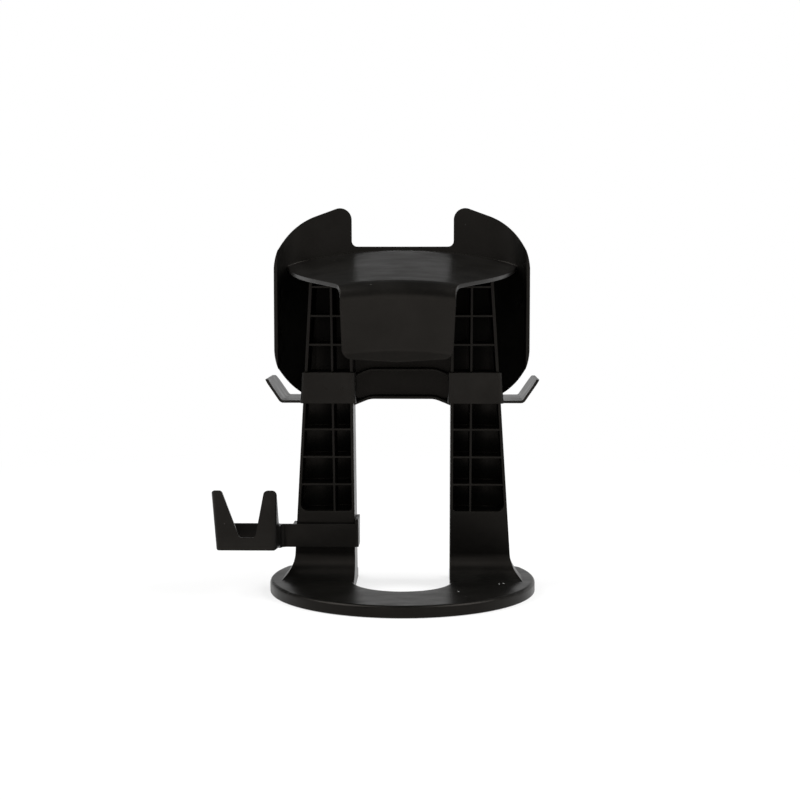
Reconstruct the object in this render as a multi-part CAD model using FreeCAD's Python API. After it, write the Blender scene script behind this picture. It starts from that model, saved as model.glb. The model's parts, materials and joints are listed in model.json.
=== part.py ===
import FreeCAD, Part
import math
import os

# A free-standing display stand, seen from its back when looking along +Y. What it holds rests
# on the curved face panel at +Y and on the hood, which slopes back from between the two fins.
# Everything is drawn around the centre of the round base and moved at the end, so that the
# origin is the middle of the whole stand's footprint, at the level that it stands on.

V = FreeCAD.Vector

# Drafting allowances: how far a trimming shape runs past its work, how near counts as on a face,
# and below what length two points are the same
PAST = 5.0
NEAR = 0.01
SAME = 1e-6

# Round base
BASE_RADIUS = 95.0
BASE_HEIGHT = 8.0
BASE_EDGE_ROUND = 2.4
BASE_FRONT_Y = 42.0
BASE_FRONT_CORNER = 9.0
CUT_HALF_WIDTH = 34.0
CUT_ROUND_Y = -14.0
CUT_MOUTH_ROUND = 3.0

# Anti-slip pads
FOOT_RADIUS = 7.0
FOOT_THICK = 1.6
FOOT_RECESS = 1.0
FOOT_GAP = 0.15
FOOT_INSET = 33.0
FOOT_BACK_X = 50.0
FOOT_FRONT_Y = 20.0

# Legs: hollow channels, open to the back above a ledge
WALL = 2.0
LEG_OUTER_FOOT_X = 77.0
LEG_FLARE_Z = 25.0
LEG_FLARE_X = 85.5
LEG_TAPER = 0.0719
LEG_BACK_Y = -0.2
LEG_BACK_SLOPE = 0.179
LEG_ROOT_ROUND = 15.0
LEDGE_Z = 57.0
LEDGE_INNER_ROUND = 2.0
LEDGE_OUTER_ROUND = 5.0
RIB_THICK = 1.5
RIB_PITCH = 20.0
RIB_FIRST_Z = 76.5
RIB_UPRIGHT_X = 48.3
RIB_BACK_SETBACK = 0.4

# Face panel: one curved skin that also makes the legs' front walls
SKIN = 2.5
FACE_Y = 9.5
FACE_CENTRE_Z = 190.0
FACE_UPRIGHT_RADIUS = 900.0
FACE_PLAN_RADIUS = 300.0
FACE_PLAN_HALF = 62.0
FACE_SIDE_RADIUS = 33.4
FACE_SIDE_END = 87.0
LEG_FRONT_SLOPE = 0.195
SWEEP_SPARE = 2.0

# Face panel's outline, seen from the back
PANEL_LOWER_ROUND = 40.0
PANEL_LOWER_Z = 150.9
PANEL_LOWER_IN = 26.0
PANEL_LOWER_DROP = 15.0
PANEL_SIDE_DEPTH = 37.5
FIN_INNER_X = 36.2
FIN_TOP_Z = 275.2
FIN_TIP_ROUND = 8.0
FIN_SLOPE = 0.37
FIN_SHOULDER_ROUND = 42.0
NOTCH_Z = 243.0
NOTCH_RISE = 1.8
NOTCH_CORNER = 4.0
WINDOW_TOP_Z = 137.0
WINDOW_CORNER_WIDE = 11.0
WINDOW_CORNER_DROP = 4.5
WINDOW_CORNER_ROUND = 15.0
BRIDGE_RIB_DEPTH = 13.0
BRIDGE_RIB_RISE = 20.0

# Hood and the tongue that hangs from its back edge
HOOD_FRONT_Z = 242.6
HOOD_FRONT_FALL = 0.8
HOOD_KNEE_Y = -8.0
HOOD_KNEE_ROUND = 70.0
HOOD_BACK_Y = -131.0
HOOD_BACK_Z = 219.5
HOOD_BACK_ROUND = 13.0
HOOD_CROWN_RADIUS = 300.0
HOOD_SWING = 40.0
HOOD_FRONT_HALF = 85.0
HOOD_SIDE_X = 72.0
HOOD_SIDE_Y = -61.0
HOOD_SIDE_ROUND = 230.0
TONGUE_HALF = 34.3
TONGUE_CORNER = 6.5
TONGUE_NECK_FLARE = 1.6
TONGUE_NECK_RUN = 4.0
TONGUE_NECK_DROP = 15.0
TONGUE_NECK_ROUND = 20.0
TONGUE_CURL_ROUND = 6.0
TONGUE_LEAN = 4.5
TONGUE_CURL_Z = 178.0
TONGUE_CURL_OUT = 3.4
TONGUE_END_Z = 170.6
TONGUE_END_RISE = 2.0

# Hook clips
CLIP_GAP = 0.3
CLIP_WALL = 1.6
CLIP_LOW_Z = 135.3
CLIP_HIGH_Z = 157.0
CLIP_CORNER = 3.0
CLIP_INNER_DEPTH = 13.0
CLIP_OUTER_DEPTH = 21.4
HOOK_THICK = 1.8
HOOK_REACH = 16.1
HOOK_LENGTH = 55.0
HOOK_CORNER = 6.0
HOOK_BEND_ROUND = 2.0
HOOK_LIP_LEAN = 11.1
HOOK_LIP_RISE = 16.2
HOOK_LIP_ROUND = 5.0

# Side cradle, drawn on the right and mirrored to the left: its cup
CRADLE_REACH = 10.1
CRADLE_LOW_WIDTH = 42.0
CRADLE_TOP_WIDTH = 45.2
CRADLE_LOW_Z = 34.5
CRADLE_HEIGHT = 41.9
CRADLE_DEPTH = 36.5
CRADLE_FLOOR_FALL = 4.0
CRADLE_WALL = 2.4
CRADLE_CORNER = 4.0
CRADLE_FLOOR = 2.4
CRADLE_FLOOR_RIM = 6.0
CRADLE_FOOT_ROUND = 2.0
VEE_INNER_PRONG = 8.2
VEE_OUTER_PRONG = 7.4
VEE_FOOT_START = 14.6
VEE_FOOT_WIDTH = 11.0
VEE_FOOT_RISE = 9.0
VEE_LOW_ROUND = 2.5
PRONG_INNER_ROUND = 3.2
PRONG_OUTER_ROUND = 2.6
SWOOP_START = 4.0
SWOOP_END = 19.4
SWOOP_ROUND = 10.0

# The cradle's arm, and the band that grips the leg
ARM_LOW_Z = 30.5
ARM_HIGH_Z = 47.5
ARM_THICK = 2.4
ARM_END_ROUND = 4.0
ARM_GAP = 0.3
ARM_WRAP_DEPTH = 20.0
ARM_OUTER_SHORT = 8.0
ARM_FLANGE_RISE = 3.6


def corner_stops(corners):
    """For each (u, v, radius) corner: the start, middle and end of its arc."""
    stops = []
    for i in range(len(corners)):
        u, v, radius = corners[i]
        before = corners[i - 1]
        after = corners[(i + 1) % len(corners)]
        here = V(u, v, 0)
        if radius == 0:
            stops.append((here, here, here))
            continue
        back = (V(before[0], before[1], 0) - here).normalize()
        ahead = (V(after[0], after[1], 0) - here).normalize()
        half = back.getAngle(ahead) / 2
        reach = radius / math.tan(half)
        inward = (back + ahead).normalize()
        middle = here + inward * (radius / math.sin(half) - radius)
        stops.append((here + back * reach, middle, here + ahead * reach))
    return stops


def outline(corners):
    """A closed flat outline through (u, v, radius) corners, with a tangent arc at each radius."""
    stops = corner_stops(corners)
    edges = []
    for i in range(len(stops)):
        enter, middle, leave = stops[i]
        following = stops[(i + 1) % len(stops)][0]
        if (leave - enter).Length > SAME:
            edges.append(Part.Arc(enter, middle, leave).toShape())
        if (following - leave).Length > SAME:
            edges.append(Part.LineSegment(leave, following).toShape())
    return Part.Wire(edges)


def slab_xy(corners, low, high):
    """A plan outline (x, y, radius) made solid from z = low to z = high."""
    solid = Part.Face(outline(corners)).extrude(V(0, 0, high - low))
    solid.translate(V(0, 0, low))
    return solid


def slab_xz(corners, low, high):
    """A front outline (x, z, radius) made solid from y = low to y = high."""
    solid = slab_xy(corners, -high, -low)
    solid.rotate(V(0, 0, 0), V(1, 0, 0), 90)
    return solid


def slab_yz(corners, low, high):
    """A side outline (y, z, radius) made solid from x = low to x = high."""
    solid = slab_xy(corners, low, high)
    solid.rotate(V(0, 0, 0), V(1, 1, 1), 120)
    return solid


def mirrored(corners):
    """The same corners on the other side of u = 0, in the order that closes the outline."""
    return [(-u, v, radius) for u, v, radius in reversed(corners)]


def offset_path(path, thick):
    """An open path moved to its left by thick, with its corner radii adjusted."""
    moved = []
    for i in range(len(path)):
        here = V(path[i][0], path[i][1], 0)
        radius = path[i][2]
        normals = []
        turns = []
        for a, b in ((i - 1, i), (i, i + 1)):
            if a >= 0 and b < len(path):
                along = (V(path[b][0], path[b][1], 0) - V(path[a][0], path[a][1], 0)).normalize()
                turns.append(along)
                normals.append(V(-along.y, along.x, 0))
        if len(normals) == 1:
            place = here + normals[0] * thick
        else:
            both = normals[0] + normals[1]
            place = here + both * (thick / (1 + normals[0].dot(normals[1])))
            left_turn = turns[0].cross(turns[1]).z > 0
            if radius > 0:
                radius = radius - thick if left_turn else radius + thick
        moved.append((place.x, place.y, radius))
    return moved


def strip(path, thick):
    """A bent strip: an open path and the same path moved to its left."""
    return list(path) + list(reversed(offset_path(path, thick)))


def mirror_x(shape):
    """The mirror image on the other side of the stand's middle plane."""
    return shape.mirror(V(0, 0, 0), V(1, 0, 0))


def knee_z():
    """The height at which the front skin stops bowing and leans forward to the base."""
    return WINDOW_TOP_Z


def leg_outer_x(z):
    """The leg's outer face, which tapers inward going up."""
    return LEG_OUTER_FOOT_X - LEG_TAPER * (z - LEG_FLARE_Z)


def leg_back_y(z):
    """The plane of the leg's back edges, which leans back going up."""
    return LEG_BACK_Y - LEG_BACK_SLOPE * (z - BASE_HEIGHT)


def face_side_centre():
    """The centre of the tighter arc that wraps the face panel's right side, in plan."""
    join = math.asin(FACE_PLAN_HALF / FACE_PLAN_RADIUS)
    reach = FACE_PLAN_RADIUS - FACE_SIDE_RADIUS
    return reach * math.sin(join), FACE_Y - FACE_PLAN_RADIUS + reach * math.cos(join)


def face_plan(inset):
    """The region behind the face panel's plan curve, flat at z = 0, moved in by inset."""
    centre_y = FACE_Y - FACE_PLAN_RADIUS
    radius = FACE_PLAN_RADIUS - inset
    side_radius = FACE_SIDE_RADIUS - inset
    join = math.asin(FACE_PLAN_HALF / FACE_PLAN_RADIUS)
    end = math.radians(FACE_SIDE_END)
    middle = (join + end) / 2
    side_x, side_y = face_side_centre()
    crest = V(0, centre_y + radius, 0)
    near = V(radius * math.sin(join), centre_y + radius * math.cos(join), 0)
    bend = V(side_x + side_radius * math.sin(middle), side_y + side_radius * math.cos(middle), 0)
    last = V(side_x + side_radius * math.sin(end), side_y + side_radius * math.cos(end), 0)
    back = V(last.x, HOOD_BACK_Y - BASE_RADIUS, 0)
    left = [V(-p.x, p.y, 0) for p in (back, last, bend, near)]
    edges = [
        Part.LineSegment(left[0], left[1]).toShape(),
        Part.Arc(left[1], left[2], left[3]).toShape(),
        Part.Arc(left[3], crest, near).toShape(),
        Part.Arc(near, bend, last).toShape(),
        Part.LineSegment(last, back).toShape(),
        Part.LineSegment(back, left[0]).toShape(),
    ]
    return Part.Face(Part.Wire(edges))


def face_form(inset):
    """Everything behind the front skin: bowed above the knee, leaning forward below it."""
    drop = FACE_CENTRE_Z - knee_z()
    sweep_low = math.degrees(math.asin(drop / FACE_UPRIGHT_RADIUS)) + SWEEP_SPARE
    sweep_high = math.degrees(math.asin((FIN_TOP_Z - FACE_CENTRE_Z) / FACE_UPRIGHT_RADIUS)) + SWEEP_SPARE
    axis = V(0, FACE_Y - FACE_UPRIGHT_RADIUS, FACE_CENTRE_Z)
    upper = face_plan(inset)
    upper.translate(V(0, 0, FACE_CENTRE_Z))
    upper.rotate(axis, V(1, 0, 0), -sweep_low)
    upper = upper.revolve(axis, V(1, 0, 0), sweep_low + sweep_high)
    knee_shift = math.sqrt(FACE_UPRIGHT_RADIUS ** 2 - drop ** 2) - FACE_UPRIGHT_RADIUS
    top = knee_z() + RIB_PITCH
    lower = face_plan(inset)
    lower.translate(V(0, knee_shift - LEG_FRONT_SLOPE * (top - knee_z()), top))
    lower = lower.extrude(V(0, LEG_FRONT_SLOPE * top, -top))
    return upper.fuse(lower)


def base():
    """The round base: a disc with a straight front and a U cut that is open to the front."""
    corner = BASE_FRONT_CORNER
    corner_y = BASE_FRONT_Y - corner
    corner_x = math.sqrt((BASE_RADIUS - corner) ** 2 - corner_y ** 2)
    unit = V(corner_x, corner_y, 0).normalize()
    rim = unit * BASE_RADIUS
    lean = (unit + V(0, 1, 0)).normalize()
    corner_mid = V(corner_x, corner_y, 0) + lean * corner
    front = V(corner_x, BASE_FRONT_Y, 0)
    half = CUT_HALF_WIDTH
    mouth = CUT_MOUTH_ROUND
    mouth_out = V(half + mouth, BASE_FRONT_Y, 0)
    swing = mouth * (1 - math.sqrt(0.5))
    mouth_mid = V(half + swing, BASE_FRONT_Y - swing, 0)
    mouth_in = V(half, BASE_FRONT_Y - mouth, 0)
    cut_end = V(half, CUT_ROUND_Y, 0)

    def left(point):
        return V(-point.x, point.y, 0)

    edges = [
        Part.LineSegment(mouth_out, front).toShape(),
        Part.Arc(front, corner_mid, rim).toShape(),
        Part.Arc(rim, V(0, -BASE_RADIUS, 0), left(rim)).toShape(),
        Part.Arc(left(rim), left(corner_mid), left(front)).toShape(),
        Part.LineSegment(left(front), left(mouth_out)).toShape(),
        Part.Arc(left(mouth_out), left(mouth_mid), left(mouth_in)).toShape(),
        Part.LineSegment(left(mouth_in), left(cut_end)).toShape(),
        Part.Arc(left(cut_end), V(0, CUT_ROUND_Y - half, 0), cut_end).toShape(),
        Part.LineSegment(cut_end, mouth_in).toShape(),
        Part.Arc(mouth_in, mouth_mid, mouth_out).toShape(),
    ]
    disc = Part.Face(Part.Wire(edges)).extrude(V(0, 0, BASE_HEIGHT))
    top_edges = [edge for edge in disc.Edges if edge.BoundBox.ZMin > BASE_HEIGHT - NEAR]
    disc = disc.makeFillet(BASE_EDGE_ROUND, top_edges)
    for x, y in foot_places():
        disc = disc.cut(Part.makeCylinder(FOOT_RADIUS + FOOT_GAP, FOOT_RECESS, V(x, y, 0)))
    return disc


def foot_places():
    """The four pads' centres: two near the back, two near the front."""
    reach = BASE_RADIUS - FOOT_INSET
    return [
        (-FOOT_BACK_X, -reach),
        (FOOT_BACK_X, -reach),
        (-reach, FOOT_FRONT_Y),
        (reach, FOOT_FRONT_Y),
    ]


def foot(x, y):
    """One round pad, seated in its shallow recess and proud of the base's underside."""
    return Part.makeCylinder(FOOT_RADIUS, FOOT_THICK, V(x, y, FOOT_RECESS - FOOT_THICK))


def tangent_corner(start, along, end):
    """The rounded corner of an arc that leaves start in the direction along and stops at end."""
    gap = end - start
    reach = gap.dot(gap) / (2 * gap.dot(along))
    corner = start + along * reach
    turn = along.getAngle(end - corner)
    return (corner.x, corner.y, reach / math.tan(turn / 2))


def leg_front_outline(low, high):
    """The right leg seen from the back, from low to high, with the flare onto the base."""
    down = V(LEG_TAPER, -1, 0).normalize()
    flare_start = V(LEG_OUTER_FOOT_X, LEG_FLARE_Z, 0)
    flare_end = V(LEG_FLARE_X, BASE_HEIGHT, 0)
    return [
        (CUT_HALF_WIDTH, low, 0),
        (CUT_HALF_WIDTH, high, 0),
        (leg_outer_x(high), high, 0),
        tangent_corner(flare_start, down, flare_end),
        (flare_end.x, flare_end.y, 0),
        (LEG_FLARE_X, low, 0),
    ]


def leg_side_outline(back_shift, low, high):
    """Everything in front of the leg's leaning back edges, with the root's fillet onto the base."""
    lean = math.atan(LEG_BACK_SLOPE)
    reach = LEG_ROOT_ROUND / math.tan((math.pi / 2 - lean) / 2)
    root_y = leg_back_y(BASE_HEIGHT) + back_shift
    return [
        (BASE_RADIUS, low, 0),
        (BASE_RADIUS, high, 0),
        (leg_back_y(high) + back_shift, high, 0),
        (root_y, BASE_HEIGHT, LEG_ROOT_ROUND),
        (root_y - reach - NEAR, BASE_HEIGHT, 0),
        (root_y - reach - NEAR, low, 0),
    ]


def rib_grid():
    """The plates of the rib grid inside one leg: level plates at an even pitch, and one upright."""
    far = BASE_RADIUS
    top = FIN_TOP_Z
    upright_low = RIB_UPRIGHT_X - RIB_THICK / 2
    grid = Part.makeBox(RIB_THICK, 2 * far, top, V(upright_low, -far, LEDGE_Z - WALL))
    z = RIB_FIRST_Z
    while z < HOOD_FRONT_Z - RIB_PITCH / 2:
        grid = grid.fuse(Part.makeBox(far, 2 * far, RIB_THICK, V(0, -far, z - RIB_THICK / 2)))
        z += RIB_PITCH
    return grid.common(slab_yz(leg_side_outline(RIB_BACK_SETBACK, BASE_HEIGHT / 2, top), 0, far))


def leg():
    """The right leg without its front wall: side walls, rib grid, ledge and closed root."""
    low = BASE_HEIGHT / 2
    high = FIN_TOP_Z
    far = BASE_RADIUS
    whole = slab_xz(leg_front_outline(low, high), -far, far)
    whole = whole.common(slab_yz(leg_side_outline(0, low, high), 0, far))
    whole = whole.common(face_form(SKIN / 2)).cut(above_hood(SKIN / 2))
    pocket = slab_xz([
        (CUT_HALF_WIDTH + WALL, LEDGE_Z, LEDGE_INNER_ROUND),
        (CUT_HALF_WIDTH + WALL, high + PAST, 0),
        (leg_outer_x(high + PAST) - WALL, high + PAST, 0),
        (leg_outer_x(LEDGE_Z) - WALL, LEDGE_Z, LEDGE_OUTER_ROUND),
    ], -far, far)
    return whole.cut(pocket.cut(rib_grid()))


def panel_corners():
    """The face panel's outline seen from the back: two fins, the notch, and the window's arched top."""
    half_width = face_side_centre()[0] + FACE_SIDE_RADIUS
    shoulder_z = FIN_TOP_Z - FIN_SLOPE * (half_width - FIN_INNER_X)
    right = [
        (FIN_INNER_X, NOTCH_Z + NOTCH_RISE, NOTCH_CORNER),
        (FIN_INNER_X, FIN_TOP_Z, FIN_TIP_ROUND),
        (half_width, shoulder_z, FIN_SHOULDER_ROUND),
        (half_width, PANEL_LOWER_Z, PANEL_LOWER_ROUND),
        (half_width - PANEL_LOWER_IN, PANEL_LOWER_Z - PANEL_LOWER_DROP, 0),
        (CUT_HALF_WIDTH, WINDOW_TOP_Z - WINDOW_CORNER_DROP, 0),
        (CUT_HALF_WIDTH - WINDOW_CORNER_WIDE, WINDOW_TOP_Z, WINDOW_CORNER_ROUND),
    ]
    return right + mirrored(right)


def front_skin():
    """The face panel and the legs' front walls in one: a thin curved skin inside their joint outline."""
    back_y = FACE_Y - PANEL_SIDE_DEPTH
    panel = slab_xz(panel_corners(), back_y, BASE_RADIUS)
    leg_corners = leg_front_outline(BASE_HEIGHT / 2, knee_z() + RIB_PITCH / 2)
    right_leg = slab_xz(leg_corners, back_y, BASE_RADIUS)
    shape = panel.fuse(right_leg).fuse(mirror_x(right_leg))
    return face_form(0).cut(face_form(SKIN)).common(shape)


def bridge_rib(rise, thick):
    """A rib across the window's top from leg to leg, arched down at both ends."""
    end_x = CUT_HALF_WIDTH + WALL / 2
    knee_x = CUT_HALF_WIDTH - WINDOW_CORNER_WIDE
    end_drop = WINDOW_CORNER_DROP * (end_x - knee_x) / WINDOW_CORNER_WIDE
    end_z = WINDOW_TOP_Z + rise - end_drop
    path = [
        (-end_x, end_z, 0),
        (-knee_x, WINDOW_TOP_Z + rise, WINDOW_CORNER_ROUND),
        (knee_x, WINDOW_TOP_Z + rise, WINDOW_CORNER_ROUND),
        (end_x, end_z, 0),
    ]
    back_y = FACE_Y - SKIN - BRIDGE_RIB_DEPTH
    return slab_xz(strip(path, thick), back_y, FACE_Y + SKIN).common(face_form(SKIN / 2))


def hood_path():
    """The hood's top and the tongue's back, from the notch to the curled end, as (y, z, radius)."""
    curl_y = HOOD_BACK_Y - TONGUE_LEAN
    return [
        (FACE_Y + 2 * SKIN, HOOD_FRONT_Z, 0),
        (HOOD_KNEE_Y, HOOD_FRONT_Z - HOOD_FRONT_FALL, HOOD_KNEE_ROUND),
        (HOOD_BACK_Y, HOOD_BACK_Z, HOOD_BACK_ROUND),
        (curl_y, TONGUE_CURL_Z, TONGUE_CURL_ROUND),
        (curl_y - TONGUE_CURL_OUT, TONGUE_END_Z - SKIN, 0),
    ]


def crown(corners):
    """A side outline swung about a low axis along Y, which crowns the hood from side to side."""
    axis = V(0, 0, HOOD_BACK_Z - HOOD_CROWN_RADIUS)
    flat = Part.Face(outline(corners))
    flat.rotate(V(0, 0, 0), V(1, 1, 1), 120)
    flat.rotate(axis, V(0, 1, 0), -HOOD_SWING / 2)
    return flat.revolve(axis, V(0, 1, 0), HOOD_SWING)


def above_hood(inset):
    """Everything above the hood's top, moved down by inset."""
    front, knee, back = offset_path(hood_path()[:3], inset)
    sky = FIN_TOP_Z + BASE_RADIUS
    return crown([front, knee, (back[0], back[1], 0), (back[0], sky, 0), (front[0], sky, 0)])


def hood():
    """The hood and its tongue: one bent sheet, crowned, tapering to the tongue's width."""
    sheet = crown(strip(hood_path(), SKIN))
    far_y = HOOD_BACK_Y - BASE_RADIUS
    low = TONGUE_END_Z
    high = max(HOOD_FRONT_Z, HOOD_BACK_Z) + PAST
    neck_half = TONGUE_HALF + TONGUE_NECK_FLARE
    plan_right = [
        (HOOD_FRONT_HALF, FACE_Y + 2 * SKIN, 0),
        (HOOD_SIDE_X, HOOD_SIDE_Y, HOOD_SIDE_ROUND),
        (neck_half, HOOD_BACK_Y + TONGUE_NECK_RUN, TONGUE_NECK_ROUND),
        (neck_half, far_y, 0),
    ]
    plan = slab_xy(plan_right + mirrored(plan_right), low - PAST, high)
    neck_z = HOOD_BACK_Z - TONGUE_NECK_DROP
    front_right = [
        (BASE_RADIUS, high, 0),
        (BASE_RADIUS, neck_z, 0),
        (neck_half, neck_z, 0),
        (TONGUE_HALF, low + TONGUE_END_RISE, TONGUE_CORNER),
    ]
    front = slab_xz(front_right + [(0, low, 0)] + mirrored(front_right), far_y, BASE_RADIUS)
    return sheet.common(plan).common(front).common(face_form(SKIN / 2))


def stand_body():
    """The main moulding: base, legs, front skin, bridge ribs, hood and tongue in one."""
    right = leg()
    body = base().fuse([
        right,
        mirror_x(right),
        front_skin(),
        bridge_rib(0, WALL),
        bridge_rib(BRIDGE_RIB_RISE, RIB_THICK),
        hood(),
    ])
    return body.removeSplitter()


def round_upright_edges(solid, radius, back_y=None):
    """Rounds the edges that climb the solid's whole height, or only those that lean along its back."""
    height = solid.BoundBox.ZLength
    picked = []
    for edge in solid.Edges:
        middle = edge.valueAt((edge.FirstParameter + edge.LastParameter) / 2)
        at_back = back_y is None or abs(middle.y - back_y(middle.z)) < NEAR
        if edge.BoundBox.ZLength > height - NEAR and at_back:
            picked.append(edge)
    return solid.makeFillet(radius, picked)


def leg_sleeve(out, low, high, front_y, corner):
    """The right leg's own section grown by out on its sides and back, from low to high."""
    sleeve = slab_xz([
        (CUT_HALF_WIDTH - out, low, 0),
        (CUT_HALF_WIDTH - out, high, 0),
        (leg_outer_x(high) + out, high, 0),
        (leg_outer_x(low) + out, low, 0),
    ], -BASE_RADIUS, BASE_RADIUS)
    sleeve = sleeve.common(slab_yz([
        (leg_back_y(low) - out, low, 0),
        (leg_back_y(high) - out, high, 0),
        (front_y, high, 0),
        (front_y, low, 0),
    ], 0, 2 * BASE_RADIUS))
    if corner == 0:
        return sleeve
    return round_upright_edges(sleeve, corner, lambda z: leg_back_y(z) - out)


def hook():
    """The clip's hook: a level plate beside the leg, bent up into a lip with rounded corners."""
    low = CLIP_LOW_Z
    lip_z = low + HOOK_LIP_RISE
    start_x = leg_outer_x(low) + CLIP_GAP + CLIP_WALL / 2
    bend_x = leg_outer_x(low) + HOOK_REACH
    end_x = bend_x + HOOK_LIP_LEAN * (HOOK_LIP_RISE + PAST) / HOOK_LIP_RISE
    path = [
        (start_x, low, 0),
        (bend_x, low, HOOK_BEND_ROUND + HOOK_THICK),
        (end_x, lip_z + PAST, 0),
    ]
    near_y = leg_back_y(low) + CLIP_CORNER
    far_y = near_y + HOOK_LENGTH
    sheet = slab_xz(strip(path, HOOK_THICK), near_y, far_y)
    wide = 2 * BASE_RADIUS
    plan = slab_xy([
        (start_x, near_y, 0),
        (wide, near_y, 0),
        (wide, far_y, 0),
        (start_x, far_y, HOOK_CORNER),
    ], 0, wide)
    side = slab_yz([
        (near_y, low - PAST, 0),
        (near_y, lip_z, HOOK_LIP_ROUND),
        (far_y, lip_z, HOOK_LIP_ROUND),
        (far_y, low - PAST, 0),
    ], 0, wide)
    return sheet.common(plan).common(side)


def hook_clip():
    """The right clip: a C that grips the leg from behind, carrying its hook on the outside."""
    out = CLIP_GAP + CLIP_WALL
    back_y = leg_back_y(CLIP_HIGH_Z)
    shell = leg_sleeve(out, CLIP_LOW_Z, CLIP_HIGH_Z, back_y + CLIP_OUTER_DEPTH, CLIP_CORNER)
    shell = shell.cut(leg_sleeve(CLIP_GAP, CLIP_LOW_Z - PAST, CLIP_HIGH_Z + PAST, BASE_RADIUS, 0))
    inner_end = V(0, back_y + CLIP_INNER_DEPTH, 0)
    shell = shell.cut(Part.makeBox(CUT_HALF_WIDTH + WALL, BASE_RADIUS, CLIP_HIGH_Z, inner_end))
    return shell.fuse(hook()).removeSplitter()


def cradle_in_x():
    """The cup's side that faces the leg."""
    return leg_outer_x(CRADLE_LOW_Z) + CRADLE_REACH


def cradle_span():
    """The cup's near and far faces along Y: its far wall lines up with the arm behind the leg."""
    far_y = leg_back_y((ARM_LOW_Z + ARM_HIGH_Z) / 2) - ARM_GAP
    return far_y - CRADLE_DEPTH, far_y


def cradle_block(inset, low, high, corner):
    """The cup's outer form moved in by inset, from low to high, with its upright edges rounded."""
    near_y, far_y = cradle_span()
    slant = (CRADLE_TOP_WIDTH - CRADLE_LOW_WIDTH) / CRADLE_HEIGHT
    out_x = cradle_in_x() + CRADLE_LOW_WIDTH - inset
    block = slab_xz([
        (cradle_in_x() + inset, low, 0),
        (cradle_in_x() + inset, high, 0),
        (out_x + slant * (high - CRADLE_LOW_Z), high, 0),
        (out_x + slant * (low - CRADLE_LOW_Z), low, 0),
    ], near_y + inset, far_y - inset)
    return round_upright_edges(block, corner)


def cradle_sweep(corners, start, end):
    """A front outline, drawn at the cup's near face, swept from y = start to y = end along its floor."""
    near_y, far_y = cradle_span()
    fall = CRADLE_FLOOR_FALL / CRADLE_DEPTH
    face = Part.Face(outline(corners))
    face.rotate(V(0, 0, 0), V(1, 0, 0), 90)
    face.translate(V(0, start, -fall * (start - near_y)))
    return face.extrude(V(0, end - start, -fall * (end - start)))


def cradle_front(vee):
    """The cup seen from the back, with a rounded foot and top and the corners of vee between."""
    in_x = cradle_in_x()
    low = CRADLE_LOW_Z
    top = low + CRADLE_HEIGHT
    return [
        (in_x, low, CRADLE_FOOT_ROUND),
        (in_x, top, PRONG_INNER_ROUND),
    ] + vee + [
        (in_x + CRADLE_TOP_WIDTH, top, PRONG_OUTER_ROUND),
        (in_x + CRADLE_LOW_WIDTH, low, CRADLE_FOOT_ROUND),
    ]


def cradle_vee():
    """The V between the near plate's two rounded prongs."""
    in_x = cradle_in_x()
    top = CRADLE_LOW_Z + CRADLE_HEIGHT
    vee_low = CRADLE_LOW_Z + VEE_FOOT_RISE
    return [
        (in_x + VEE_INNER_PRONG, top, PRONG_INNER_ROUND),
        (in_x + VEE_FOOT_START, vee_low, VEE_LOW_ROUND),
        (in_x + VEE_FOOT_START + VEE_FOOT_WIDTH, vee_low, VEE_LOW_ROUND),
        (in_x + CRADLE_TOP_WIDTH - VEE_OUTER_PRONG, top, PRONG_OUTER_ROUND),
    ]


def cradle_profile():
    """The cup seen from its side: full height at the near plate, then sweeping down to the arm's top."""
    near_y, far_y = cradle_span()
    low = ARM_LOW_Z - PAST
    top = CRADLE_LOW_Z + CRADLE_HEIGHT
    return slab_yz([
        (near_y - PAST, low, 0),
        (near_y - PAST, top + PAST, 0),
        (near_y + SWOOP_START, top + PAST, 0),
        (near_y + SWOOP_START, top, 0),
        (near_y + SWOOP_END, ARM_HIGH_Z, SWOOP_ROUND),
        (far_y + PAST, ARM_HIGH_Z, 0),
        (far_y + PAST, low, 0),
    ], 0, 2 * BASE_RADIUS)


def cradle_cup():
    """The cup before it is hollowed: a tall near plate with its V, low sides and a falling floor."""
    near_y, far_y = cradle_span()
    split = near_y + SWOOP_START
    top = CRADLE_LOW_Z + CRADLE_HEIGHT + PAST
    near_part = cradle_sweep(cradle_front(cradle_vee()), near_y - PAST, split)
    far_part = cradle_sweep(cradle_front([]), split, far_y + PAST)
    block = cradle_block(0, ARM_LOW_Z - PAST, top, CRADLE_CORNER)
    return near_part.fuse(far_part).common(block).common(cradle_profile())


def cradle_hollow():
    """The cup's inside, open at the top, and the drain through its floor."""
    near_y, far_y = cradle_span()
    floor_z = CRADLE_LOW_Z + CRADLE_FLOOR
    top = CRADLE_LOW_Z + CRADLE_HEIGHT + 2 * PAST
    in_x = cradle_in_x()
    out_x = in_x + CRADLE_TOP_WIDTH
    inside = cradle_block(CRADLE_WALL, ARM_LOW_Z, top, CRADLE_CORNER - CRADLE_WALL)
    inside = inside.common(cradle_sweep([
        (in_x, floor_z, 0),
        (in_x, top + PAST, 0),
        (out_x, top + PAST, 0),
        (out_x, floor_z, 0),
    ], near_y, far_y))
    rim = CRADLE_WALL + CRADLE_FLOOR_RIM
    drain = slab_xy([
        (in_x + rim, near_y + rim, CRADLE_CORNER),
        (in_x + CRADLE_LOW_WIDTH - rim, near_y + rim, CRADLE_CORNER),
        (in_x + CRADLE_LOW_WIDTH - rim, far_y - rim, CRADLE_CORNER),
        (in_x + rim, far_y - rim, CRADLE_CORNER),
    ], ARM_LOW_Z - PAST, floor_z + PAST)
    return inside.fuse(drain)


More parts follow.
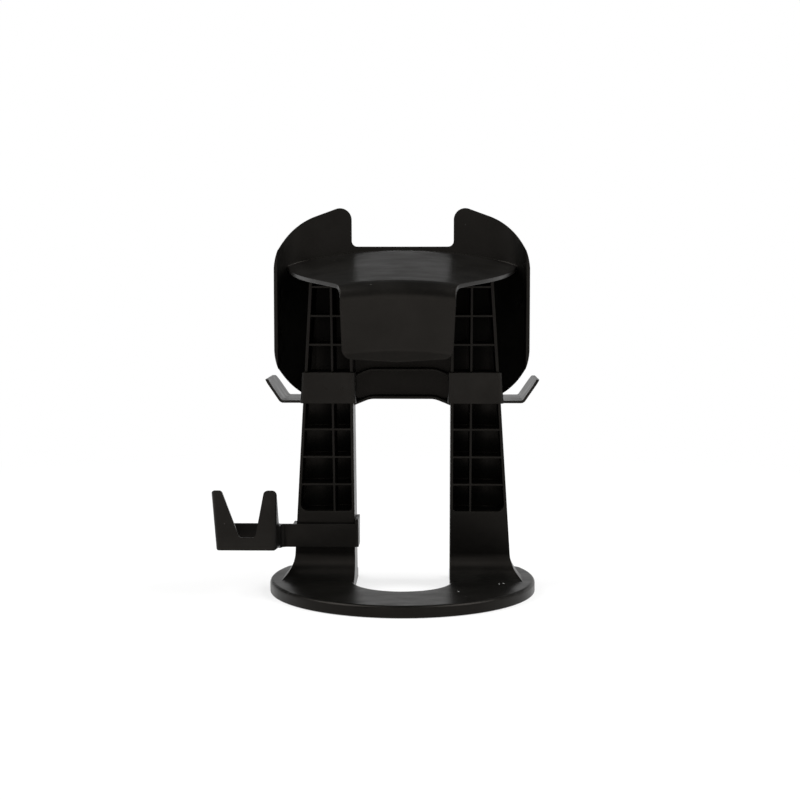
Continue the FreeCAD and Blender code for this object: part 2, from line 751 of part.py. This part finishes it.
def cradle_arm_plate():
    """The leaning plate from the leg to the cup, with a concave round where it meets the cup's side."""
    near_y = leg_back_y(ARM_LOW_Z) - ARM_GAP - ARM_THICK
    round_y = near_y - ARM_END_ROUND - NEAR
    end_x = cradle_in_x() + CRADLE_CORNER
    start_x = leg_outer_x(ARM_HIGH_Z) - WALL
    plate = Part.Face(outline([
        (start_x, near_y, 0),
        (cradle_in_x(), near_y, ARM_END_ROUND),
        (cradle_in_x(), round_y, 0),
        (cradle_in_x() + CRADLE_WALL, round_y, 0),
        (end_x, near_y + ARM_THICK, 0),
        (start_x, near_y + ARM_THICK, 0),
    ]))
    plate.translate(V(0, 0, ARM_LOW_Z))
    height = ARM_HIGH_Z - ARM_LOW_Z
    return plate.extrude(V(0, -LEG_BACK_SLOPE * height, height))


def cradle_band():
    """The band across the leg's back, wrapping both of its sides, with a raised flange at its inner end."""
    out = ARM_GAP + ARM_THICK
    high = ARM_HIGH_Z + ARM_FLANGE_RISE
    front_y = leg_back_y(ARM_HIGH_Z) + ARM_WRAP_DEPTH
    band = leg_sleeve(out, ARM_LOW_Z, high, front_y, ARM_THICK)
    band = band.cut(leg_sleeve(ARM_GAP, ARM_LOW_Z - PAST, high + PAST, BASE_RADIUS, 0))
    wide = 2 * BASE_RADIUS
    edge_x = CUT_HALF_WIDTH - ARM_GAP
    band = band.cut(Part.makeBox(wide, wide, high, V(edge_x, -BASE_RADIUS, ARM_HIGH_Z)))
    outer_end = V(leg_outer_x(high) - WALL, front_y - ARM_OUTER_SHORT, 0)
    return band.cut(Part.makeBox(wide, wide, high, outer_end))


def side_cradle():
    """The cradle on the left leg: the cup, its arm and the band in one moulding."""
    moulding = cradle_cup().fuse([cradle_arm_plate(), cradle_band()]).cut(cradle_hollow())
    return mirror_x(moulding.removeSplitter())


def all_pieces():
    """Every piece of the stand by name, still drawn around the base's centre."""
    clip = hook_clip()
    pieces = {
        "stand_body": stand_body(),
        "hook_clip_right": clip,
        "hook_clip_left": mirror_x(clip),
        "side_cradle": side_cradle(),
    }
    names = ["foot_back_left", "foot_back_right", "foot_front_left", "foot_front_right"]
    for name, (x, y) in zip(names, foot_places()):
        pieces[name] = foot(x, y)
    return pieces


def footprint_middle(pieces):
    """The point on the floor under the middle of the whole stand's box."""
    box = FreeCAD.BoundBox()
    for shape in pieces.values():
        box.add(shape.optimalBoundingBox(False, False))
    return V(box.Center.x, box.Center.y, box.ZMin)


pieces = all_pieces()
middle = footprint_middle(pieces)
os.makedirs("parts", exist_ok=True)
for name, shape in pieces.items():
    shape.translate(V(-middle.x, -middle.y, -middle.z))
    shape.exportStep("parts/" + name + ".step")
    print(name, "solids", len(shape.Solids), "volume", round(shape.Volume), "valid", shape.isValid())
print("base centre in the row's frame", -middle)
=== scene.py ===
import json
import math

import bpy
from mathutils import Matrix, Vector


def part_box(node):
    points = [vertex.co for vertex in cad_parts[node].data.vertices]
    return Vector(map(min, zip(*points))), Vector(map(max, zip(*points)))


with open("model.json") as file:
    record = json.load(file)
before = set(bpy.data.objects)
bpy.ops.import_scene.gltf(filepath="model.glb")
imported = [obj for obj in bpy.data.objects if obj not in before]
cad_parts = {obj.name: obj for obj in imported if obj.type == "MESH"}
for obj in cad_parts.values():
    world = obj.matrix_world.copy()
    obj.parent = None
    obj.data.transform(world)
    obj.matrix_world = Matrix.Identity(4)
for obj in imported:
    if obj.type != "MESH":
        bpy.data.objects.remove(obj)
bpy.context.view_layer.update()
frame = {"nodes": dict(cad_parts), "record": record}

# Lengths are in metres unless a name says otherwise, and noise scales are in waves per metre.
MM = 0.001

# The stand's base
BASE_CENTRE_AHEAD_OF_FEET = 21.0 * MM
BASE_LIFT = 0.6 * MM
BASE_TOP = 8.6 * MM

# The photograph's camera
CAMERA_FROM_BASE = (0.023, -1.015, 0.221)
CAMERA_TILT_DEG = 85.2
CAMERA_TURN_DEG = 1.4
CAMERA_LENS_MM = 64.2
CAMERA_SENSOR_MM = 36.0

# The floor: the share of plain white grows from near the stand to all of it further out
FLOOR_RADIUS = 6.0
FLOOR_CORNERS = 96
FLOOR_COLOUR = (0.86, 0.86, 0.855, 1.0)
FLOOR_CLOUD_SCALE = 3.0
FLOOR_ROUGHNESS = (0.75, 0.9)
FLOOR_SHADOW_REACH = 0.16
FLOOR_WHITE_FROM = 0.85
FLOOR_WHITE_NEAR = 0.72

# The sky: seen as white up to one upward share of the view's direction, and as grey from another
WORLD_LIGHT = 0.42
WHITE = (1.0, 1.0, 1.0, 1.0)
SKY_GREY = (0.10, 0.10, 0.10, 1.0)
SKY_WHITE_TO = 0.272
SKY_GREY_FROM = 0.345

# The lamps: each softbox's name, place from the base's centre, width and height, and watts
LAMPS_AIM = (0.0, -0.03, 0.20)
SOFTBOXES = (
    ("box_left", (-0.75, -0.25, 1.0), (0.7, 0.9), 13.0),
    ("box_right", (0.75, -0.25, 1.0), (0.7, 0.9), 13.0),
    ("fill_camera", (0.0, -1.7, 0.85), (1.3, 0.7), 4.0),
)

# Black ABS: two blacks that mottle, the lowest and highest roughness, the level of gloss, and how
# far the light rolls round an edge
BODY_FINISH = dict(
    dark=(0.0026, 0.0025, 0.0022, 1.0),
    light=(0.0054, 0.0051, 0.0046, 1.0),
    roughness=(0.27, 0.36),
    gloss=0.12,
    edge=0.9 * MM,
)
FITTING_BLACK = (0.0042, 0.0040, 0.0036, 1.0)
FITTING_GREY = (0.0090, 0.0085, 0.0078, 1.0)
CLIP_FINISH = dict(
    dark=FITTING_BLACK,
    light=FITTING_GREY,
    roughness=(0.26, 0.38),
    gloss=0.13,
    edge=0.3 * MM,
)
CRADLE_FINISH = dict(
    dark=FITTING_BLACK,
    light=FITTING_GREY,
    roughness=(0.28, 0.40),
    gloss=0.13,
    edge=0.5 * MM,
)
GLOSS_TINT = (1.0, 0.90, 0.81, 1.0)
PLASTIC_IOR = 1.5
EDGE_SAMPLES = 8
CLOUD_SCALE = 34.0
CLOUD_FOR_COLOUR = (0.35, 0.70)
CLOUD_FOR_FILM = (0.40, 0.72)
WIPE_SCALE = 46.0
WIPE_TURN = (0.3, 0.5, 0.9)
WIPE_STRETCH = (1.0, 2.2, 1.3)
WIPE_FOR_ROUGHNESS = (0.30, 0.72)
SINK_SCALE = 38.0
SINK_DEPTH = 0.35 * MM
SINK_STRENGTH = 0.14
GRAIN_SCALE = 2300.0
GRAIN_DEPTH = 0.03 * MM
GRAIN_STRENGTH = 0.08

# Dust: a thin film and two layers of specks, each with its cells per metre, a speck's radius in
# cells, and the share of cells that have one. The lone grains' places are from the base's centre.
DUST = (0.34, 0.33, 0.31, 1.0)
DUST_UPWARD = (0.35, 0.95)
FILM_SHARE = 0.004
FILM_THINNEST = 0.25
FILM_ROUGHNESS = 0.06
COARSE_SPECKS = (95.0, 0.030, 0.10)
FINE_SPECKS = (210.0, 0.045, 0.035)
SPECK_CORE = 0.6
SPECK_ON_SIDES = 0.25
SPECK_ON_TOPS = 0.75
SPECK_ROUGHNESS = 0.4
DUST_GRAIN = (0.60, 0.60, 0.58, 1.0)
DUST_GRAIN_RADIUS = 0.65 * MM
DUST_GRAIN_CORE = 0.7
DUST_GRAIN_PLACES_MM = ((39.6, -49.0), (68.6, -23.5), (71.8, -22.0))

# The pads' foam rubber
RUBBER_DARK = (0.016, 0.016, 0.016, 1.0)
RUBBER_LIGHT = (0.045, 0.045, 0.044, 1.0)
RUBBER_ROUGHNESS = (0.78, 0.95)
RUBBER_GLOSS = 0.25
RUBBER_CLOUD_SCALE = 240.0
RUBBER_EDGE = 0.2 * MM
RUBBER_EDGE_SAMPLES = 4
FOAM_CELL_SCALE = 1700.0
FOAM_CELL_DEPTH = 0.25 * MM
FOAM_CELL_STRENGTH = 0.6

# How strongly a vertex takes the direction of its largest face
LARGE_FACE_WEIGHT = 90


class Graph:
    """A short way to write shader nodes: each call adds one node and links its inputs."""

    def __init__(self, owner):
        """Starts an empty tree in a new material or world."""
        self.owner = owner
        self.owner.use_nodes = True
        self.tree = owner.node_tree
        self.tree.nodes.clear()

    def add(self, kind, inputs=None, **settings):
        node = self.tree.nodes.new("ShaderNode" + kind)
        for key, value in settings.items():
            setattr(node, key, value)
        for key, value in (inputs or {}).items():
            if isinstance(value, bpy.types.NodeSocket):
                self.tree.links.new(value, node.inputs[key])
            else:
                node.inputs[key].default_value = value
        return node

    def noise(self, where, scale, detail, rough):
        """Smooth random values over the surface, from about 0 to 1."""
        given = {"Vector": where, "Scale": scale, "Detail": detail, "Roughness": rough}
        return self.add("TexNoise", given).outputs["Fac"]

    def spread(self, value, low, high, to_low=0.0, to_high=1.0):
        """Stretches low..high onto to_low..to_high, and clips outside."""
        given = {"Value": value, "From Min": low, "From Max": high, "To Min": to_low, "To Max": to_high}
        return self.add("MapRange", given).outputs["Result"]

    def maths(self, operation, a, b):
        return self.add("Math", {0: a, 1: b}, operation=operation).outputs[0]

    def mix(self, factor, a, b):
        """One colour turning into another."""
        return self.add("Mix", {0: factor, 6: a, 7: b}, data_type="RGBA").outputs[2]

    def mix_shaders(self, factor, a, b):
        """One shader turning into another."""
        return self.add("MixShader", {"Fac": factor, 1: a, 2: b}).outputs[0]

    def bump(self, height, distance, strength, normal):
        given = {"Height": height, "Distance": distance, "Strength": strength, "Normal": normal}
        return self.add("Bump", given).outputs["Normal"]

    def finish(self, output, shader):
        """Links the shader to an output node of the given kind, and returns the material or world."""
        self.add(output, {"Surface": shader})
        return self.owner


def dust_mask(graph, where, cells, radius, share):
    """Small round specks, each at a random place in its cell, in a few of the cells."""
    voronoi = graph.add("TexVoronoi", {"Vector": where, "Scale": cells})
    chosen = graph.add("SeparateColor", {"Color": voronoi.outputs["Color"]}).outputs["Red"]
    near = graph.spread(voronoi.outputs["Distance"], radius * SPECK_CORE, radius, 1.0, 0.0)
    return graph.maths("MULTIPLY", near, graph.maths("LESS_THAN", chosen, share))


def dust_grains(graph, where, places):
    """Single grains of dust, one at each place."""
    total = 0.0
    for place in places:
        away = graph.add("VectorMath", {0: where, 1: place}, operation="DISTANCE").outputs["Value"]
        core = DUST_GRAIN_RADIUS * DUST_GRAIN_CORE
        total = graph.maths("MAXIMUM", total, graph.spread(away, core, DUST_GRAIN_RADIUS, 1.0, 0.0))
    return total


def moulded_plastic(name, dark, light, roughness, gloss, edge, grains=()):
    """Black ABS straight from a polished mould: faint grain, slow sink waviness, wiped marks and dust."""
    g = Graph(bpy.data.materials.new(name))
    where = g.add("TexCoord").outputs["Object"]
    edge_normal = g.add("Bevel", {"Radius": edge}, samples=EDGE_SAMPLES).outputs["Normal"]
    cloud = g.noise(where, CLOUD_SCALE, 5.0, 0.6)
    grain = g.noise(where, GRAIN_SCALE, 2.0, 0.6)
    sink = g.noise(where, SINK_SCALE, 1.0, 0.4)
    wiped_way = g.add("Mapping", {"Vector": where, "Rotation": WIPE_TURN, "Scale": WIPE_STRETCH})
    wiped = g.noise(wiped_way.outputs["Vector"], WIPE_SCALE, 5.0, 0.6)

    facing = g.add("NewGeometry").outputs["Normal"]
    up = g.add("SeparateXYZ", {"Vector": facing}).outputs["Z"]
    upward = g.spread(up, *DUST_UPWARD)
    film = g.maths("MULTIPLY", upward, g.spread(cloud, *CLOUD_FOR_FILM, FILM_THINNEST, 1.0))
    specks = g.maths("MAXIMUM", dust_mask(g, where, *COARSE_SPECKS), dust_mask(g, where, *FINE_SPECKS))
    speck_share = g.maths("MULTIPLY", specks, g.spread(upward, 0.0, 1.0, SPECK_ON_SIDES, SPECK_ON_TOPS))

    colour = g.mix(g.spread(cloud, *CLOUD_FOR_COLOUR), dark, light)
    colour = g.mix(g.maths("MULTIPLY", film, FILM_SHARE), colour, DUST)
    colour = g.mix(speck_share, colour, DUST)
    if grains:
        lone = dust_grains(g, where, grains)
        colour = g.mix(lone, colour, DUST_GRAIN)
        specks = g.maths("MAXIMUM", specks, lone)

    rough = g.spread(wiped, *WIPE_FOR_ROUGHNESS, *roughness)
    rough = g.maths("ADD", rough, g.maths("MULTIPLY", film, FILM_ROUGHNESS))
    rough = g.maths("ADD", rough, g.maths("MULTIPLY", specks, SPECK_ROUGHNESS))
    normal = g.bump(sink, SINK_DEPTH, SINK_STRENGTH, edge_normal)
    normal = g.bump(grain, GRAIN_DEPTH, GRAIN_STRENGTH, normal)
    shader = g.add("BsdfPrincipled", {
        "Base Color": colour,
        "Roughness": rough,
        "IOR": PLASTIC_IOR,
        "Specular IOR Level": gloss,
        "Specular Tint": GLOSS_TINT,
        "Normal": normal,
    })
    return g.finish("OutputMaterial", shader.outputs["BSDF"])


def foam_rubber(name):
    """The pads' anti-slip foam rubber: matt, with fine open cells."""
    g = Graph(bpy.data.materials.new(name))
    where = g.add("TexCoord").outputs["Object"]
    cells = g.add("TexVoronoi", {"Vector": where, "Scale": FOAM_CELL_SCALE}).outputs["Distance"]
    cloud = g.noise(where, RUBBER_CLOUD_SCALE, 4.0, 0.6)
    edge_normal = g.add("Bevel", {"Radius": RUBBER_EDGE}, samples=RUBBER_EDGE_SAMPLES).outputs["Normal"]
    shader = g.add("BsdfPrincipled", {
        "Base Color": g.mix(g.spread(cloud, 0.35, 0.7), RUBBER_DARK, RUBBER_LIGHT),
        "Roughness": g.spread(cloud, 0.3, 0.7, *RUBBER_ROUGHNESS),
        "Specular IOR Level": RUBBER_GLOSS,
        "Normal": g.bump(cells, FOAM_CELL_DEPTH, FOAM_CELL_STRENGTH, edge_normal),
    })
    return g.finish("OutputMaterial", shader.outputs["BSDF"])


def dress(node, material):
    """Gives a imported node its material, and shades it by its large faces, so thin ones leave no mark."""
    piece = frame["nodes"][node]
    piece.data.materials.clear()
    piece.data.materials.append(material)
    shading = piece.modifiers.new("even_shading", "WEIGHTED_NORMAL")
    shading.mode = "FACE_AREA"
    shading.weight = LARGE_FACE_WEIGHT
    shading.keep_sharp = True


def materials(centre):
    """One finish for each of the record's slots."""
    grains = [centre + Vector((x * MM, y * MM, BASE_TOP)) for x, y in DUST_GRAIN_PLACES_MM]
    by_slot = {
        "body_plastic": moulded_plastic("body_abs", grains=grains, **BODY_FINISH),
        "clip_plastic": moulded_plastic("clip_abs", **CLIP_FINISH),
        "cradle_plastic": moulded_plastic("cradle_abs", **CRADLE_FINISH),
        "foot_rubber": foam_rubber("foot_foam"),
    }
    for part in frame["record"]["subparts"]:
        dress(part["node"], by_slot[part["material_slot"]])


def white_rays(graph):
    """1 on the rays that should see plain white: from the camera, or by gloss or glass."""
    path = graph.add("LightPath").outputs
    total = graph.maths("MAXIMUM", path["Is Camera Ray"], path["Is Glossy Ray"])
    return graph.maths("MAXIMUM", total, path["Is Transmission Ray"])


def studio_world():
    """Soft even light from all round. The rays that should see white see dark grey high up instead."""
    world = bpy.data.worlds.new("studio")
    bpy.context.scene.world = world
    g = Graph(world)
    direction = g.add("TexCoord").outputs["Generated"]
    height = g.add("SeparateXYZ", {"Vector": direction}).outputs["Z"]
    sky = g.mix(g.spread(height, SKY_WHITE_TO, SKY_GREY_FROM), WHITE, SKY_GREY)
    light = g.add("Background", {"Color": WHITE, "Strength": WORLD_LIGHT}).outputs[0]
    seen = g.add("Background", {"Color": sky, "Strength": 1.0}).outputs[0]
    g.finish("OutputWorld", g.mix_shaders(white_rays(g), light, seen))


def pale_floor():
    """A wide round floor, near white to the camera but still darkened by the stand's shadow."""
    bpy.ops.mesh.primitive_circle_add(vertices=FLOOR_CORNERS, radius=FLOOR_RADIUS, fill_type="NGON")
    floor = bpy.context.object
    floor.name = "studio_floor"
    g = Graph(bpy.data.materials.new("floor_white"))
    where = g.add("TexCoord").outputs["Object"]
    rough = g.spread(g.noise(where, FLOOR_CLOUD_SCALE, 3.0, 0.5), 0.3, 0.7, *FLOOR_ROUGHNESS)
    diffuse = g.add("BsdfDiffuse", {"Color": FLOOR_COLOUR, "Roughness": rough}).outputs[0]
    glow = g.add("Emission", {"Color": WHITE, "Strength": 1.0}).outputs[0]
    away = g.add("VectorMath", {0: where}, operation="LENGTH").outputs["Value"]
    white = g.spread(away, FLOOR_SHADOW_REACH, FLOOR_WHITE_FROM, FLOOR_WHITE_NEAR, 1.0)
    share = g.maths("MULTIPLY", white_rays(g), white)
    floor.data.materials.append(g.finish("OutputMaterial", g.mix_shaders(share, diffuse, glow)))


def softbox(name, place, size, watts, target):
    """A rectangular lamp that faces the target."""
    lamp = bpy.data.lights.new(name, "AREA")
    lamp.shape = "RECTANGLE"
    lamp.size, lamp.size_y = size
    lamp.energy = watts
    holder = bpy.data.objects.new(name, lamp)
    bpy.context.scene.collection.objects.link(holder)
    holder.location = place
    holder.rotation_euler = (Vector(target) - Vector(place)).to_track_quat("-Z", "Y").to_euler()


def lights(centre):
    """A softbox high on each side of the stand, and a weaker one above and behind the camera."""
    for name, place, size, watts in SOFTBOXES:
        softbox(name, centre + Vector(place), size, watts, centre + Vector(LAMPS_AIM))


def base_centre():
    """The round base's centre on the floor, worked out from the four pads under it."""
    feet = [name for name in frame["nodes"] if name.startswith("foot_")]
    middles = [sum(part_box(name), Vector()) / 2 for name in feet]
    mean = sum(middles, Vector()) / len(middles)
    return Vector((mean.x, mean.y + BASE_CENTRE_AHEAD_OF_FEET, 0.0))


def camera(centre):
    """The photograph's view: a metre behind the base's centre, 0.22 m up, and looking slightly down."""
    data = bpy.data.cameras.new("camera")
    data.lens = CAMERA_LENS_MM
    data.sensor_width = CAMERA_SENSOR_MM
    holder = bpy.data.objects.new("camera", data)
    bpy.context.scene.collection.objects.link(holder)
    holder.location = centre + Vector(CAMERA_FROM_BASE) + Vector((0.0, 0.0, BASE_LIFT))
    holder.rotation_euler = (math.radians(CAMERA_TILT_DEG), 0.0, math.radians(CAMERA_TURN_DEG))
    bpy.context.scene.camera = holder


def main():
    bpy.context.scene.view_settings.view_transform = "Standard"
    centre = base_centre()
    camera(centre)
    studio_world()
    pale_floor()
    lights(centre)
    materials(centre)


main()
